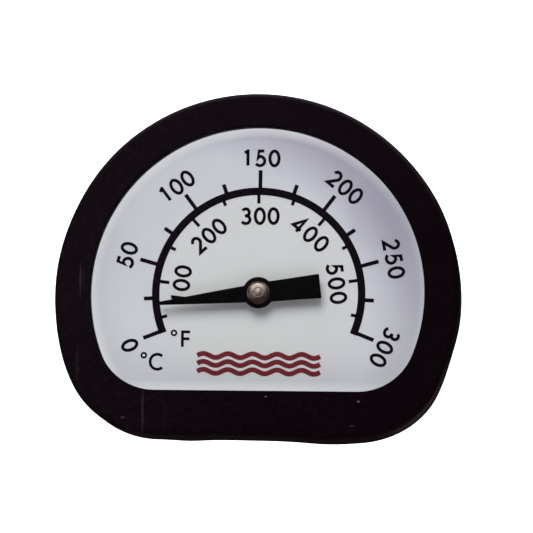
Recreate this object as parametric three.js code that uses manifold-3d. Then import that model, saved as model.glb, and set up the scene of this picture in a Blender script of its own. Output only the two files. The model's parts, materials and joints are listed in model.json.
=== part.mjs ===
// Dial thermometer for an oven lid or door. A D-shaped black frame holds a steel case with a
// white dial behind a window. A bimetal coil at the end of the stem turns the pointer, and a
// wing nut on the threaded bush clamps the thermometer on the lid.
//
// Millimetres. +Z is up, the dial looks along -Y and the stem runs along +Y. The origin is on
// the stem's axis, in the plane where the seal meets the lid.

import * as THREE from 'three';
import { mergeVertices } from 'three/addons/utils/BufferGeometryUtils.js';
import Module from 'manifold-3d';

const wasm = await Module();
wasm.setup();

// ---- Driving dimensions ----

// The D outline of the visible dial. The outlines inside the boot are this one, grown by an offset.
const OPENING_R = 25.2;
const OPENING_FLAT = 14.8;
const OPENING_CORNER = 8.8;

// The boot's outer D outline.
const BOOT_R = 30.5;
const BOOT_FLAT = 21.15;
const BOOT_CORNER = 13.1;

// How far the round tops are centred below the stem's axis.
const OUTLINE_DROP = 0.3;
const BOOT_DROP = 0.65;

// Offsets of the other outlines from the opening.
const BOOT_BACK_GROW = -3;
const RING_GROW = 3.15;
const RING_INNER_GROW = 0.8;
const CASE_GROW = 2.6;
const CASE_STEP = 1.3;
const WINDOW_GROW = 1.7;
const SPACER_GROW = 0.15;
const GASKET_GROW = 0.3;
const DIAL_GROW = 1.6;
const DIAL_PAN_GROW = -0.2;

// Depths and thicknesses.
const HOUSING_DEPTH = 15;
const DIAL_DEPTH = 6;
const BOOT_EDGE = 1.2;
const BOOT_LIP_T = 1.2;
const SHEET = 0.7;
const SEAL_T = 1.5;
const FLANGE_T = 2.2;
const DIAL_T = 0.4;
const DIAL_RIM_RISE = 0.5;
const WINDOW_CLEARANCE = 3.2;
const WINDOW_T = 1.3;
const GASKET_T = 0.65;
const RING_T = 0.45;
const RING_SKIRT = 2.6;
const GAP = 0.05;
const FIT = 0.1;

// Thread, bush and clamping hardware.
const THREAD_R = 4;
const THREAD_CHAMFER = 0.7;
const BUSH_FRONT = -8.3;
const BUSH_BACK = 17;
const FLANGE_ACROSS_FLATS = 15;
const SEAL_R = 8.5;
const LID_T = 2.2;
const CLAMP_WASHER_R = 9;
const CLAMP_WASHER_T = 1.2;
const SPRING_WASHER_R = 7;
const SPRING_WASHER_T = 1.6;
const SPRING_WASHER_SPLIT = 0.14;
const CASE_WASHER_R = 7.5;
const CASE_WASHER_T = 0.6;
const CASE_NUT_ACROSS_FLATS = 13;
const CASE_NUT_T = 2.6;
const NUT_T = 8;
const NUT_BASE_R = 6.8;
const NUT_TOP_R = 5.3;
const WING_T = 2.3;

// Stem and movement.
const STEM_R = 2.5;
const STEM_WALL = 0.4;
const STEM_END = 45;
const TIP_T = 1.7;
const SPINDLE_R = 0.6;
const RUNNING = 0.05;
const BEARING_R = 2.05;
const COIL_R = 1.6;
const COIL_STRIP_T = 0.2;
const COIL_STRIP_W = 1.3;
const COIL_PITCH = 1.8;
const COIL_TURNS = 10.25;
const COIL_FRONT = 18.2;

// Pointer: the scale runs clockwise, and the pointer rests at room temperature.
const ZERO_ANGLE = 201.6;
const DEGREES_PER_CELSIUS = 0.744;
const REST_CELSIUS = 20;
const POINTER_T = 0.4;
const POINTER_HEIGHT = 1.5;
const POINTER_TIP = 15.1;
const POINTER_TAIL = 9.4;
const POINTER_TIP_W = 0.5;
const POINTER_ROOT_W = 2.88;
const POINTER_TAIL_W = 3.7;
const HUB_R = 2.37;
const BOSS_R = 1.68;

// Facets round a full circle.
const LARGE_ROUND = 36;
const SMALL_ROUND = 20;
const OUTLINE_ARC = 36;
const OUTLINE_CORNER = 7;
const COIL_ROUND = 12;

// ---- Places along the stem, worked out from the dimensions above ----

const sealFront = -SEAL_T;
const flangeBack = sealFront - GAP;
const flangeFront = flangeBack - FLANGE_T;
const caseBack = flangeFront - GAP;
const caseFloor = caseBack - SHEET;
const bootBack = caseBack + GAP + BOOT_LIP_T;
const bootFront = bootBack - HOUSING_DEPTH;
const dialFace = bootFront + DIAL_DEPTH;
const dialRimFront = dialFace - DIAL_RIM_RISE;
const ledgeFront = dialRimFront + DIAL_T + GAP;
const windowBack = dialFace - WINDOW_CLEARANCE;
const windowFront = windowBack - WINDOW_T;
const gasketBack = windowBack + GAP + GASKET_T;
const ringBack = windowFront - GAP;
const ringFront = ringBack - RING_T;
const ringSkirtBack = ringFront + RING_SKIRT;
const pointerBack = dialFace - POINTER_HEIGHT;
const pointerFront = pointerBack - POINTER_T;
const clampBack = LID_T + CLAMP_WASHER_T;
const springWasherFront = clampBack + GAP;
const nutFront = springWasherFront + SPRING_WASHER_T + GAP;
const bearingFront = BUSH_FRONT - GAP - 0.8;
const clipBack = bearingFront - GAP - 0.3 - GAP;
const coilBack = COIL_FRONT + COIL_TURNS * COIL_PITCH + COIL_STRIP_W;

// ---- Shapes ----

// A closed mesh as a manifold solid, its vertices shared and its flat triangles left out.
function solid(geometry) {
  const plain = geometry.clone();
  plain.deleteAttribute('normal');
  plain.deleteAttribute('uv');
  const merged = mergeVertices(plain, 1e-4);
  const index = merged.index.array;
  const triangles = [];
  for (let i = 0; i < index.length; i += 3) {
    const corners = [index[i], index[i + 1], index[i + 2]];
    if (new Set(corners).size === 3) triangles.push(...corners);
  }
  return new wasm.Manifold(new wasm.Mesh({
    numProp: 3,
    vertProperties: new Float32Array(merged.attributes.position.array),
    triVerts: new Uint32Array(triangles),
  }));
}

// A manifold solid as a geometry that a mesh can show.
function geometryOf(manifold) {
  const mesh = manifold.getMesh();
  const geometry = new THREE.BufferGeometry();
  geometry.setAttribute('position', new THREE.BufferAttribute(mesh.vertProperties, 3));
  geometry.setIndex(new THREE.BufferAttribute(mesh.triVerts, 1));
  geometry.computeVertexNormals();
  return geometry;
}

// A D outline: a round top, a flat bottom and two round corners. The flat is measured from the
// centre of the round top, which lies below the stem's axis by the drop.
function dOutline(round, flat, corner, drop) {
  const cornerZ = corner - flat;
  const cornerX = Math.sqrt((round - corner) ** 2 - cornerZ ** 2);
  const turn = Math.atan2(cornerZ, cornerX);
  const top = new THREE.EllipseCurve(0, -drop, round, round, turn, Math.PI - turn);
  const left = new THREE.EllipseCurve(
    -cornerX, cornerZ - drop, corner, corner, Math.PI - turn, 1.5 * Math.PI);
  const right = new THREE.EllipseCurve(
    cornerX, cornerZ - drop, corner, corner, -0.5 * Math.PI, turn);
  return new THREE.Shape([
    ...top.getPoints(OUTLINE_ARC).slice(0, -1),
    ...left.getPoints(OUTLINE_CORNER),
    ...right.getPoints(OUTLINE_CORNER).slice(0, -1),
  ]);
}

// The opening's outline grown by an offset.
function dShape(grow) {
  return dOutline(OPENING_R + grow, OPENING_FLAT + grow, OPENING_CORNER + grow, OUTLINE_DROP);
}

function hexShape(acrossFlats) {
  const radius = acrossFlats / Math.sqrt(3);
  const corners = [0, 1, 2, 3, 4, 5].map((i) => i * Math.PI / 3);
  return new THREE.Shape(
    corners.map((a) => new THREE.Vector2(radius * Math.cos(a), radius * Math.sin(a))));
}

// A shape drawn as the reader sees it, made solid between two planes across the stem.
function slab(shape, front, back, edge = 0) {
  const geometry = new THREE.ExtrudeGeometry(shape, {
    depth: back - front - 2 * edge,
    curveSegments: LARGE_ROUND / 2,
    bevelEnabled: edge > 0,
    bevelThickness: edge,
    bevelSize: edge,
    bevelOffset: -edge,
    bevelSegments: 3,
  });
  geometry.rotateX(Math.PI / 2);
  geometry.translate(0, back - edge, 0);
  return solid(geometry);
}

// A D-shaped ring between two outlines.
function dRing(inner, outer, front, back) {
  return slab(dShape(outer), front, back)
    .subtract(slab(dShape(inner), front - 1, back + 1));
}

// A profile of [radius, place] points turned about the stem. The outside runs towards the tip.
function turned(profile, segments = SMALL_ROUND) {
  const points = profile.map(([radius, place]) => new THREE.Vector2(radius, place));
  return solid(new THREE.LatheGeometry([...points, points[0].clone()], segments));
}

function tube(inner, outer, front, back, segments = SMALL_ROUND) {
  return turned([[inner, front], [outer, front], [outer, back], [inner, back]], segments);
}

function rod(radius, front, back, segments = SMALL_ROUND) {
  return turned([[0, front], [radius, front], [radius, back], [0, back]], segments);
}

// A flat washer with a slot cut from one side.
function splitRing(inner, outer, front, back, slot) {
  const shape = new THREE.Shape();
  shape.absarc(0, 0, outer, slot / 2, 2 * Math.PI - slot / 2, false);
  shape.absarc(0, 0, inner, 2 * Math.PI - slot / 2, slot / 2, true);
  return slab(shape, front, back);
}

// ---- Housing ----

function frameBoot() {
  const lipBack = ringFront - GAP;
  const stepBack = ledgeFront + SHEET + FIT;
  const outside = dOutline(BOOT_R, BOOT_FLAT, BOOT_CORNER, BOOT_DROP);
  return slab(outside, bootFront, bootBack, BOOT_EDGE)
    .subtract(slab(dShape(0), bootFront - 1, caseBack))
    .subtract(slab(dShape(RING_GROW + FIT), lipBack, ringSkirtBack + FIT))
    .subtract(slab(dShape(CASE_GROW + FIT), lipBack, stepBack))
    .subtract(slab(dShape(CASE_GROW - CASE_STEP + FIT), lipBack, caseBack + GAP))
    .subtract(slab(dShape(BOOT_BACK_GROW), lipBack, bootBack + 1));
}

// A drawn cup with a step that the dial's rim rests on.
function caseCup() {
  const rearGrow = CASE_GROW - CASE_STEP;
  return slab(dShape(CASE_GROW), windowFront, ledgeFront + SHEET)
    .add(slab(dShape(rearGrow), windowFront, caseBack))
    .subtract(slab(dShape(CASE_GROW - SHEET), windowFront - 1, ledgeFront))
    .subtract(slab(dShape(rearGrow - SHEET), windowFront - 1, caseFloor))
    .subtract(rod(THREAD_R + FIT, caseFloor - 1, caseBack + 1, LARGE_ROUND));
}

function bezelRing() {
  return dRing(RING_INNER_GROW, RING_GROW, ringFront, ringSkirtBack)
    .subtract(slab(dShape(CASE_GROW + GAP), ringBack, ringSkirtBack + 1));
}

function dialPlate() {
  const pan = slab(dShape(DIAL_PAN_GROW), dialFace - 1, dialFace + DIAL_T);
  const rim = slab(dShape(DIAL_GROW), dialRimFront, dialRimFront + DIAL_T);
  const hollow = slab(dShape(DIAL_PAN_GROW - DIAL_T), dialFace - 3, dialFace);
  return pan.subtract(slab(dShape(DIAL_GROW), dialFace - 3, dialRimFront))
    .add(rim)
    .subtract(hollow)
    .subtract(rod(1.9, dialFace - 1, dialFace + 1));
}

// ---- Bush and stem ----

function threadedBush() {
  const root = THREAD_R - THREAD_CHAMFER;
  const bore = STEM_R + GAP;
  const body = turned([
    [bore, BUSH_FRONT],
    [root, BUSH_FRONT],
    [THREAD_R, BUSH_FRONT + THREAD_CHAMFER],
    [THREAD_R, BUSH_BACK - THREAD_CHAMFER],
    [root, BUSH_BACK],
    [bore, BUSH_BACK],
  ], LARGE_ROUND);
  const flange = slab(hexShape(FLANGE_ACROSS_FLATS), flangeFront, flangeBack)
    .subtract(rod(STEM_R + THREAD_CHAMFER, flangeFront - 1, flangeBack + 1));
  return body.add(flange);
}

function caseNut() {
  const front = caseFloor - GAP - CASE_WASHER_T - GAP - CASE_NUT_T;
  return slab(hexShape(CASE_NUT_ACROSS_FLATS), front, front + CASE_NUT_T)
    .subtract(rod(THREAD_R + FIT, front - 1, front + CASE_NUT_T + 1, LARGE_ROUND));
}

function stemTip() {
  const shoulder = STEM_END - TIP_T;
  return turned([
    [0, shoulder - 2.8],
    [STEM_R - STEM_WALL - FIT, shoulder - 2.8],
    [STEM_R - STEM_WALL - FIT, shoulder],
    [STEM_R, shoulder],
    [STEM_R, STEM_END - 0.9],
    [STEM_R - 0.3, STEM_END - 0.3],
    [STEM_R - 0.9, STEM_END],
    [0, STEM_END],
  ]);
}

// ---- Movement ----

function frontBearing() {
  const bore = SPINDLE_R + RUNNING;
  const headBack = bearingFront + 0.8;
  return turned([
    [bore, bearingFront],
    [3.2, bearingFront],
    [3.2, headBack],
    [BEARING_R, headBack],
    [BEARING_R, headBack + 3],
    [bore, headBack + 3],
  ]);
}

// The shaft has a groove for its clip, and a collar behind the front bearing.
function spindle() {
  const groove = SPINDLE_R - 0.15;
  const collarFront = bearingFront + 0.8 + 3 + 0.1;
  return turned([
    [0, pointerFront - 0.05],
    [SPINDLE_R, pointerFront - 0.05],
    [SPINDLE_R, clipBack - 0.45],
    [groove, clipBack - 0.45],
    [groove, clipBack + 0.05],
    [SPINDLE_R, clipBack + 0.05],
    [SPINDLE_R, collarFront],
    [1.5, collarFront],
    [1.5, collarFront + 1],
    [SPINDLE_R, collarFront + 1],
    [SPINDLE_R, COIL_FRONT + 0.8],
    [0, COIL_FRONT + 0.8],
  ]);
}

// A disc and a post that one end of the coil is welded to.
function coilCollet() {
  const bore = SPINDLE_R + RUNNING;
  const discBack = COIL_FRONT - 0.3;
  return turned([
    [bore, discBack - 2.1],
    [1.8, discBack - 2.1],
    [1.8, discBack],
    [1.2, discBack],
    [1.2, discBack + 1.8],
    [bore, discBack + 1.8],
  ]);
}

function coilAnchor() {
  const discFront = coilBack + 0.3;
  return turned([
    [0, discFront - 1.8],
    [1.2, discFront - 1.8],
    [1.2, discFront],
    [1.8, discFront],
    [1.8, discFront + 2],
    [0, discFront + 2],
  ]);
}

// A flat strip, wound on its side round the stem's axis.
function bimetalCoil() {
  const steps = Math.round(COIL_TURNS * COIL_ROUND);
  const strip = new THREE.BoxGeometry(1, COIL_STRIP_W, COIL_STRIP_T, steps, 1, 1);
  const place = strip.attributes.position;
  for (let i = 0; i < place.count; i += 1) {
    const turns = (place.getX(i) + 0.5) * COIL_TURNS;
    const angle = turns * 2 * Math.PI;
    const radius = COIL_R + place.getZ(i);
    const along = COIL_FRONT + turns * COIL_PITCH + COIL_STRIP_W / 2 + place.getY(i);
    place.setXYZ(i, radius * Math.sin(angle), along, radius * Math.cos(angle));
  }
  return solid(strip);
}

// Drawn pointing along +X, and turned to the rest temperature by its mesh.
function pointerPlate() {
  const half = [POINTER_TIP_W, POINTER_ROOT_W, POINTER_TAIL_W].map((width) => width / 2);
  const blade = new THREE.Shape([
    new THREE.Vector2(POINTER_TIP, -half[0]),
    new THREE.Vector2(POINTER_TIP, half[0]),
    new THREE.Vector2(0, half[1]),
    new THREE.Vector2(-POINTER_TAIL, half[2]),
    new THREE.Vector2(-POINTER_TAIL, -half[2]),
    new THREE.Vector2(0, -half[1]),
  ]);
  return slab(blade, pointerFront, pointerBack)
    .add(rod(HUB_R, pointerFront, pointerBack, LARGE_ROUND))
    .subtract(rod(1, pointerFront - 1, pointerBack + 1));
}

// A turned rivet: a collar behind the pointer, a shank through it and a domed head in front.
function pointerBoss() {
  const bore = SPINDLE_R + RUNNING;
  const headBack = pointerFront - GAP;
  const collarFront = pointerBack + GAP;
  return turned([
    [0, headBack - 0.5],
    [0.9, headBack - 0.45],
    [BOSS_R - 0.2, headBack - 0.3],
    [BOSS_R, headBack - 0.1],
    [BOSS_R, headBack],
    [0.95, headBack],
    [0.95, collarFront],
    [1.5, collarFront],
    [1.5, collarFront + 0.7],
    [bore, collarFront + 0.7],
    [bore, headBack - 0.1],
    [0, headBack - 0.1],
  ]);
}

// ---- Clamping hardware ----

function wingNut() {
  const back = nutFront + NUT_T;
  const boss = turned([
    [THREAD_R + FIT, nutFront],
    [NUT_BASE_R, nutFront],
    [NUT_BASE_R, nutFront + 1.2],
    [NUT_TOP_R, back],
    [THREAD_R + FIT, back],
  ], LARGE_ROUND);
  const wing = new THREE.Shape();
  wing.moveTo(NUT_TOP_R - 0.8, nutFront + 1);
  wing.lineTo(NUT_BASE_R, nutFront + 1);
  wing.bezierCurveTo(11, nutFront + 1.4, 15.4, nutFront + 4.2, 15.8, nutFront + 8.6);
  wing.bezierCurveTo(16, nutFront + 12, 11.4, nutFront + 13.4, 10, nutFront + 10.6);
  wing.bezierCurveTo(9.2, nutFront + 8.8, 7.6, back - 1, NUT_TOP_R - 0.8, back - 1);
  const plate = new THREE.ExtrudeGeometry(wing, {
    depth: WING_T,
    curveSegments: 8,
    bevelEnabled: false,
  });
  plate.translate(0, 0, -WING_T / 2);
  const right = solid(plate);
  const left = solid(plate.clone().rotateY(Math.PI));
  return boss.add(right).add(left);
}

// ---- Assembly ----

function finish(color, roughness, metalness = 0) {
  return new THREE.MeshStandardMaterial({ color, roughness, metalness });
}

const BLACK_SILICONE = finish(0x151215, 0.75);
const GREY_SILICONE = finish(0x6e6b68, 0.7);
const BLACK_PLASTIC = finish(0x101013, 0.5);
const STAINLESS = finish(0xa4a4a8, 0.35, 1);
const ZINC = finish(0xb4b4ac, 0.45, 1);
const BRASS = finish(0xb08d4a, 0.4, 1);
const BOSS_METAL = finish(0x8c8078, 0.4, 1);
const BIMETAL = finish(0x8f8878, 0.4, 1);
const DIAL_WHITE = finish(0xc9cace, 0.45);
const POINTER_BLACK = finish(0x0c0b0d, 0.5);
const PTFE = finish(0xe6e4dc, 0.5);
const GLASS = new THREE.MeshStandardMaterial({
  color: 0xf4f8fa, roughness: 0.05, transparent: true, opacity: 0.3 });

function piece(name, manifold, material) {
  const mesh = new THREE.Mesh(geometryOf(manifold), material);
  mesh.name = name;
  return mesh;
}

const caseWasherBack = caseFloor - GAP;
const stemBore = STEM_R - STEM_WALL;
const threadHole = THREAD_R + FIT;

const housing = new THREE.Group();
housing.add(
  piece('frame_boot', frameBoot(), BLACK_SILICONE),
  piece('case_cup', caseCup(), STAINLESS),
  piece('bezel_ring', bezelRing(), STAINLESS),
  piece('lens', slab(dShape(WINDOW_GROW), windowFront, windowBack), GLASS),
  piece('lens_gasket',
    dRing(GASKET_GROW, WINDOW_GROW + GAP, windowBack + GAP, gasketBack), BLACK_SILICONE),
  piece('dial_spacer',
    dRing(SPACER_GROW, WINDOW_GROW + GAP, gasketBack + GAP, dialRimFront - GAP), BLACK_PLASTIC),
  piece('dial_plate', dialPlate(), DIAL_WHITE),
  piece('case_washer',
    tube(threadHole, CASE_WASHER_R, caseWasherBack - CASE_WASHER_T, caseWasherBack, LARGE_ROUND),
    STAINLESS),
  piece('case_nut', caseNut(), ZINC),
  piece('lid_seal', tube(threadHole, SEAL_R, sealFront, 0, LARGE_ROUND), GREY_SILICONE),
);

const stem = new THREE.Group();
stem.add(
  piece('threaded_bush', threadedBush(), STAINLESS),
  piece('stem_tube', tube(stemBore, STEM_R, BUSH_FRONT, STEM_END - TIP_T - GAP), STAINLESS),
  piece('stem_tip', stemTip(), STAINLESS),
  piece('front_bearing', frontBearing(), BRASS),
  piece('guide_bearing', tube(SPINDLE_R + RUNNING, BEARING_R, 8, 10.5), BRASS),
  piece('bimetal_coil', bimetalCoil(), BIMETAL),
  piece('coil_anchor', coilAnchor(), BRASS),
);

const movement = new THREE.Group();
const pointer = piece('pointer', pointerPlate(), POINTER_BLACK);
const restAngle = ZERO_ANGLE - DEGREES_PER_CELSIUS * REST_CELSIUS;
pointer.rotation.y = -THREE.MathUtils.degToRad(restAngle);
movement.add(
  pointer,
  piece('pointer_boss', pointerBoss(), BOSS_METAL),
  piece('spindle', spindle(), STAINLESS),
  piece('spindle_clip', splitRing(0.5, 1.9, clipBack - 0.4, clipBack, 1.2), STAINLESS),
  piece('thrust_washer', tube(0.7, 2.2, clipBack + GAP, bearingFront - GAP), PTFE),
  piece('coil_collet', coilCollet(), BRASS),
);

const clamp = new THREE.Group();
clamp.add(
  piece('clamp_washer',
    tube(threadHole, CLAMP_WASHER_R, LID_T, clampBack, LARGE_ROUND), ZINC),
  piece('spring_washer',
    splitRing(threadHole, SPRING_WASHER_R, springWasherFront,
      springWasherFront + SPRING_WASHER_T, SPRING_WASHER_SPLIT), ZINC),
  piece('wing_nut', wingNut(), ZINC),
);

const thermometer = new THREE.Group();
thermometer.add(housing, stem, movement, clamp);

export default thermometer;
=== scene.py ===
"""Looks of the dial oven thermometer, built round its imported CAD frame.

Shapes are drawn in millimetres, in the frame's own axes (+Z up, the dial looks along -Y, the
stem runs along +Y), and become metres when a mesh is made.
"""

import json
from math import asin, atan2, cos, degrees, exp, hypot, pi, radians, sin, sqrt, tan

import bmesh
import bpy
from mathutils import Matrix, Vector


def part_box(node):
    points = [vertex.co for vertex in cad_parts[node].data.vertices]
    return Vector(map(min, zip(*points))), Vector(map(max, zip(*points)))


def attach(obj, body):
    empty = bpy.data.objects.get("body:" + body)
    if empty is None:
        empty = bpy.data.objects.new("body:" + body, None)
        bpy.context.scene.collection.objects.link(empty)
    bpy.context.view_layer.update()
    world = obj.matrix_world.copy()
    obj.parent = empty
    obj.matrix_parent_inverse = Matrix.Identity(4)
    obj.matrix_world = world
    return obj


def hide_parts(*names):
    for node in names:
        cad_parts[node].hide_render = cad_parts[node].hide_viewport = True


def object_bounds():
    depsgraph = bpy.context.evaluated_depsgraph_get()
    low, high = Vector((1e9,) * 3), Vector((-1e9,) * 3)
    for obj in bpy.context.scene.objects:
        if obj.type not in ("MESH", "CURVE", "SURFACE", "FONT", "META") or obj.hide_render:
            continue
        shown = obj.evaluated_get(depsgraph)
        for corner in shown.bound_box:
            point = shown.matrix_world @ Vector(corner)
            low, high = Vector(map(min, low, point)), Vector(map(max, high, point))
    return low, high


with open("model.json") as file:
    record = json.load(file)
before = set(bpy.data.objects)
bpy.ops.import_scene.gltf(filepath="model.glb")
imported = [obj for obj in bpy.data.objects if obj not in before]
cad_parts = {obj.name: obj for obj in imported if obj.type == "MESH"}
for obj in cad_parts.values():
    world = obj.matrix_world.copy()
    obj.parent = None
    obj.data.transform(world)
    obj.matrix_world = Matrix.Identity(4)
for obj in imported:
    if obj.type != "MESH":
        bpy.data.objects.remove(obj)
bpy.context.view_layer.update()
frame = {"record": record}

MM = 0.001

# The body that each CAD node rides on, from the imported record.
RECORD = frame["record"]
BODY_OF = {node: body for body, nodes in RECORD["behaviour"]["bodies"].items() for node in nodes}

# ---- driving dimensions, mm

# D outline of the visible dial; the outlines inside the frame are this one, grown by an offset.
OPENING_R = 25.2
OPENING_FLAT = 14.8
OPENING_CORNER = 8.8
OUTLINE_DROP = 0.3

# The soft frame's outer D outline, and its nominal offset from the opening.
BOOT_R = 30.5
BOOT_FLAT = 21.15
BOOT_CORNER = 13.1
BOOT_DROP = 0.65
BOOT_GROW = 5.2

# Its outside is a little out of true, as soft rubber is: how far, where, and over what half width.
# The bottom edge sags at some places along X; each side leans inwards round one height.
SAGS = ((0.52, 10.9, 5.8), (0.2, -10.6, 3.0), (0.06, 0.0, 5.0))
SAG_TOP, SAG_FADE = -15.0, 5.0
LEFT_LEAN = (0.40, -13.8, 7.2)
RIGHT_LEAN = (0.32, -9.2, 4.4)
TOP_LEAN = (0.16, 12.0, 7.0)
LEAN_REACH = 18.0

# The other D-shaped parts, as offsets from the opening, and their thicknesses.
BOOT_BACK_GROW = -3.0
RING_GROW = 3.15
RING_INNER_GROW = 0.8
CASE_GROW = 2.6
CASE_STEP = 1.3
SHEET = 0.7
WINDOW_GROW = 1.7
SPACER_GROW = 0.15
GASKET_GROW = 0.3
DIAL_GROW = 1.6
DIAL_HOLE_R = 1.9
DIAL_T = 0.4
# The dial's rim: flat up to the first offset, raised by DISH_RISE at the second.
DISH_GROW = -1.7
DISH_OUT = 0.4
DISH_RISE = 0.06
MIDDLE_GROW = -8.0  # where the rings of a flat plate leave the D shape for its round hole
FIT = 0.1
CLEAR = 0.05

THREAD_R = 4.0
THREAD_ROOT_R = 3.4
THREAD_PITCH = 1.25
STEM_R = 2.5
STEM_WALL = 0.4
SPINDLE_R = 0.6
BORE_R = 0.65
NUT_BORE_R = 4.1
WASHER_CUTS = (0.08, 0.12, 0.12, 0.08)
FLANGE_ACROSS_FLATS = 15
CASE_NUT_ACROSS_FLATS = 13
BUSHING_R = 2.05
DISC_R = 1.8
COIL_WIDTH, COIL_T, COIL_PITCH, COIL_R = 1.3, 0.2, 1.8, 1.6
WING_NUT_H = 8.0
EAR_HALF_T = 1.12
CAST_VOXEL = 0.2

# The scale: degrees are counted anticlockwise from +X, as the reader sees the dial.
ZERO_ANGLE = 201.6
DEGREES_PER_CELSIUS = 0.744
REST_CELSIUS = 20
ARC_R = 15.6
ARC_CENTRE = (-0.045, -0.055)
ARC_W = 1.14
TICK_W = 0.58
TICK_ENDS = (17.45, 18.75)  # radius of the outer end of a minor and a major tick
INNER_TICK_W = 0.48
INNER_TICK_ENDS = (14.3, 13.7)
OUTER_LABEL_R = 20.65
INNER_LABEL_R = 11.92
DIGIT_STEP = 2.08
# Each number's shift from its even place (x, z), and its own digit step and extra lean (degrees).
OUTER_PLACES = {
    0: (-0.26, -0.42), 50: (-0.15, 0.15), 100: (-0.26, -0.30), 150: (0.0, -0.08),
    200: (0.40, -0.20, 2.04, -2.5), 250: (0.46, -0.08, 2.12, -4.5), 300: (-0.06, -0.38, 2.17, -5.0),
}
INNER_PLACES = {
    100: (0.08, -0.15), 200: (0.30, -0.08), 300: (0.15, -0.15), 400: (-0.06, 0.02, 2.22),
    500: (-0.06, -0.04, 2.20),
}
DEGREE = "degree"
CLOSED_SIGNS = ("0", DEGREE)
DIGIT_H = 2.7
DIGIT_STROKE = 0.47
UNIT_STROKE = 0.42
DEGREE_STROKE = 0.28
UNIT_PLACES = (("C", -15.45, -10.48), ("F", -10.92, -7.05))
DEGREE_SHIFT = (-1.86, 0.24)
INK_T = 0.03
INK_LIFT = 0.003
WAVE_ROWS = (-9.45, -10.65, -11.85)
WAVE_START, WAVE_LENGTH, WAVE_HEIGHT, WAVE_W = -9.2, 18.6, 0.3, 0.74
WAVES, WAVE_STEPS = 5, 96

POINTER_TIP = 15.1
POINTER_TAIL = 9.4
POINTER_TIP_W = 0.5
POINTER_ROOT_W = 2.88
POINTER_TAIL_W = 3.7
HUB_R = 2.37
BOSS_R = 1.68
POINTER_EDGE = 0.07
# The rivet's face as (radius, depth behind its front).
RIVET_FACE = (
    (0.02, 0.0), (0.22, 0.01), (0.40, 0.04), (0.52, 0.09), (0.60, 0.12), (0.70, 0.12),
    (0.82, 0.10), (0.94, 0.11), (1.04, 0.16), (1.14, 0.18), (1.22, 0.18), (1.34, 0.23),
    (1.46, 0.32), (1.57, 0.43), (1.65, 0.56), (BOSS_R, 0.66),
)

# ---- camera, stage and light

CAMERA_AZIMUTH = 3.3
CAMERA_ELEVATION = -5.0
CAMERA_ROLL = -0.8
CAMERA_DISTANCE = 900.0
CAMERA_LENS = 401.9
AIM_RIGHT = 1.15
AIM_UP = 4.1
FLOOR_DROP = 320.0

SKY = (0.93, 0.93, 1.0, 1.0)
SKY_STRENGTH = 0.11
# Each area light's name, place, aim, size, watts and colour.
LIGHTS = (
    ("key", (-100, -570, 450), (0, -10, 0), 540, 4.76, (1.0, 1.0, 1.0)),
    ("fill", (380, -420, 40), (0, -10, 0), 420, 0.12, (0.86, 0.9, 1.0)),
    ("rim", (60, 260, 560), (0, -5, 10), 300, 5.0, (0.95, 0.92, 1.0)),
    ("bounce", (260, -120, -330), (10, -5, -15), 160, 0.5, (1.0, 0.62, 0.45)),
    ("backdrop", (-60, 850, 620), (-88, 1500, 140), 500, 14.0, (1.0, 1.0, 1.0)),
)


def span(node):
    """Where a CAD node starts and ends along the stem, in mm."""
    low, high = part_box(node)
    return low.y / MM, high.y / MM


def radius_of(node):
    """The largest radius of a CAD node that is round about the stem, in mm."""
    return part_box(node)[1].z / MM


def add_object(name, data):
    made = bpy.data.objects.new(name, data)
    bpy.context.scene.collection.objects.link(made)
    return made


def make_camera():
    azimuth, elevation = radians(CAMERA_AZIMUTH), radians(CAMERA_ELEVATION)
    back = Vector((sin(azimuth) * cos(elevation), -cos(azimuth) * cos(elevation), sin(elevation)))
    level = Vector((0, 0, 1)).cross(back).normalized()
    upright = back.cross(level)
    roll = radians(CAMERA_ROLL)
    right = level * cos(roll) - upright * sin(roll)
    up = upright * cos(roll) + level * sin(roll)
    dial_front = span("dial_plate")[1] - DIAL_T
    target = Vector((0, dial_front, 0)) + right * AIM_RIGHT + up * AIM_UP
    data = bpy.data.cameras.new("camera")
    data.lens = CAMERA_LENS
    data.sensor_width = 36.0
    data.clip_start = 0.01
    data.clip_end = 20.0
    camera = add_object("camera", data)
    turn = Matrix((right, up, back)).transposed()
    camera.matrix_world = Matrix.Translation((target + back * CAMERA_DISTANCE) * MM) @ turn.to_4x4()
    bpy.context.scene.camera = camera


def make_area_light(name, place, aim, size, watts, colour):
    data = bpy.data.lights.new(name, "AREA")
    data.shape = "DISK"
    data.size = size * MM
    data.energy = watts
    data.color = colour
    light = add_object(name, data)
    light.location = Vector(place) * MM
    light.rotation_euler = (Vector(aim) - Vector(place)).to_track_quat("-Z", "Y").to_euler()


def shine_past(light, names):
    """Lets a light pass some pieces without a shadow, so that a deep dial is lit to its edge."""
    light = bpy.data.objects[light]
    blockers = bpy.data.collections.new(light.name + "_blockers")
    for name in names:
        blockers.objects.link(bpy.data.objects[name])
    for member in blockers.collection_objects:
        member.light_linking.link_state = "EXCLUDE"
    light.light_linking.blocker_collection = blockers


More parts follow.
